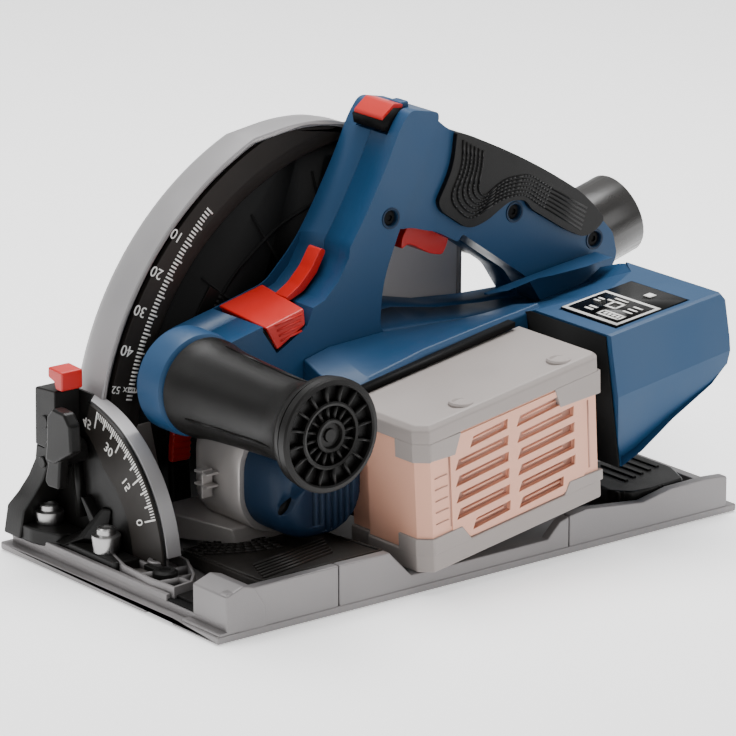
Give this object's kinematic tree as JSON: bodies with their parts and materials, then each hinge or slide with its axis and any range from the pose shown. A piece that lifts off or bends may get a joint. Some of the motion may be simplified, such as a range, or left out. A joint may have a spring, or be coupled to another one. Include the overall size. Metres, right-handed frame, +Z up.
{
  "type": "circular saw",
  "caption": "Cordless plunge-cut circular saw at full depth: sole plate, tilting blade guard with depth scale, top handle, side handle and slide-in battery.",
  "frame": {"origin": "a point on the sole's underside, midway along and across the sole plate", "axes": "+X to the rear of the saw, +Y to the blade side, +Z up from the sole"},
  "size_m": [0.397, 0.1977, 0.274],
  "materials": {
    "cast_aluminium": "cast, satin",
    "guard_grey": "satin",
    "scale_black": "matte",
    "black_plastic": "matte",
    "black_rubber": "matte",
    "blue_plastic": "fine texture",
    "dark_blue_plastic": "fine texture",
    "red_plastic": "satin",
    "steel": "machined",
    "blade_steel": "ground",
    "stator_copper": "wound wire",
    "circuit_board": "satin",
    "battery_grey": "matte",
    "battery_salmon": "matte"
  },
  "bodies": {
    "base": {"base_plate": "cast_aluminium", "deck_tray": "black_plastic", "rear_deck_box": "black_plastic", "front_bevel_bracket": "black_plastic", "rear_bevel_bracket": "black_plastic", "bevel_pin_front": "steel", "bevel_pin_rear": "steel", "bracket_bolt_front_1": "steel", "bracket_bolt_front_2": "steel", "bracket_bolt_rear_1": "steel", "bracket_bolt_rear_2": "steel"},
    "bevel_stop": {"bevel_stop_clip": "red_plastic"},
    "front_knob": {"front_bevel_knob": "black_plastic"},
    "rear_knob": {"rear_bevel_knob": "black_plastic"},
    "cam": {"rail_cam": "black_plastic"},
    "guard": {"guard_shell": "guard_grey", "guard_scale_cover": "scale_black", "guard_inner_wall": "black_plastic", "bevel_quadrant_front": "guard_grey", "bevel_quadrant_rear": "guard_grey", "dust_port": "black_plastic", "plunge_pivot_pin": "steel", "return_spring": "steel", "depth_rack": "black_plastic"},
    "depth_stop": {"depth_stop_block": "black_plastic", "depth_stop_button": "red_plastic"},
    "saw_unit": {"gear_case": "cast_aluminium", "gear_cover": "cast_aluminium", "motor_housing": "dark_blue_plastic", "motor_stator": "stator_copper", "motor_bearing": "steel", "controller_board": "circuit_board", "body_shell_near": "blue_plastic", "body_shell_far": "blue_plastic", "body_screw_1": "steel", "body_screw_2": "steel", "body_screw_3": "steel", "rubber_grip": "black_rubber", "rear_housing": "blue_plastic", "display_panel": "black_plastic", "battery_dock": "black_plastic", "aux_handle_grip": "black_rubber", "aux_handle_cap": "black_plastic", "spindle_bearing": "steel"},
    "trigger": {"trigger": "red_plastic"},
    "lock_off": {"lock_off_button": "red_plastic"},
    "lever": {"blade_change_lever": "red_plastic"},
    "blade": {"spindle": "steel", "spindle_gear": "steel", "inner_flange": "steel", "saw_blade": "blade_steel", "outer_flange": "steel", "arbor_bolt": "steel"},
    "idler": {"intermediate_gear": "steel"},
    "motor": {"motor_rotor": "steel", "cooling_fan": "black_plastic", "pinion": "steel"},
    "battery": {"battery_foot": "battery_grey", "battery_cells": "battery_salmon", "battery_top": "battery_grey"}
  },
  "joints": [
    {"name": "bevel", "type": "hinge", "parent": "base", "child": "guard", "pos_m": [0, 0.06, 0.01], "axis": [-1, 0, 0], "range_deg": [0, 47]},
    {"name": "plunge", "type": "hinge", "parent": "guard", "child": "saw_unit", "pos_m": [0.06, 0.047, 0.04], "axis": [0, 1, 0], "range_deg": [0, 31]},
    {"name": "depth_stop_slide", "type": "hinge", "parent": "guard", "child": "depth_stop", "pos_m": [0.06, 0.047, 0.04], "axis": [0, 1, 0], "range_deg": [0, 30]},
    {"name": "blade_spin", "type": "hinge", "parent": "saw_unit", "child": "blade", "pos_m": [-0.038, 0.064, 0.018], "axis": [0, 1, 0], "continuous": true},
    {"name": "idler_spin", "type": "hinge", "parent": "saw_unit", "child": "idler", "pos_m": [-0.0545, 0.034, 0.034], "axis": [0, 1, 0], "continuous": true},
    {"name": "motor_spin", "type": "hinge", "parent": "saw_unit", "child": "motor", "pos_m": [-0.071, 0, 0.05], "axis": [0, 1, 0], "continuous": true},
    {"name": "trigger_pull", "type": "hinge", "parent": "saw_unit", "child": "trigger", "pos_m": [0.04, 0.022, 0.16], "axis": [0, -1, 0], "range_deg": [0, 8], "stiffness_Nm_per_rad": 0.6, "springref_deg": -11.46},
    {"name": "lock_off_press", "type": "slide", "parent": "saw_unit", "child": "lock_off", "axis": [0, 0, -1], "range_m": [0, 0.001], "stiffness_N_per_m": 800, "springref_m": -0.001},
    {"name": "lever_lift", "type": "hinge", "parent": "saw_unit", "child": "lever", "pos_m": [-0.015, 0.022, 0.167], "axis": [0, 1, 0], "range_deg": [0, 35]},
    {"name": "battery_release", "type": "slide", "parent": "saw_unit", "child": "battery", "axis": [0, -1, 0], "range_m": [0, 0.075]},
    {"name": "front_knob_turn", "type": "hinge", "parent": "base", "child": "front_knob", "pos_m": [-0.15, 0.052, 0.06], "axis": [1, 0, 0], "range_deg": [0, 90]},
    {"name": "rear_knob_turn", "type": "hinge", "parent": "base", "child": "rear_knob", "pos_m": [0.14, 0.06, 0.036], "axis": [1, 0, 0], "range_deg": [0, 90]},
    {"name": "rail_cam_turn", "type": "hinge", "parent": "base", "child": "cam", "pos_m": [-0.15, -0.024, 0.01], "axis": [0, 0, 1], "range_deg": [0, 90]},
    {"name": "bevel_stop_lift", "type": "slide", "parent": "base", "child": "bevel_stop", "axis": [0, 0, 1], "range_m": [0, 0.003]}
  ],
  "couplings": [
    {"joint": "idler_spin", "follows": "blade_spin", "ratio": -1.4211},
    {"joint": "motor_spin", "follows": "blade_spin", "ratio": 4.0263}
  ]
}
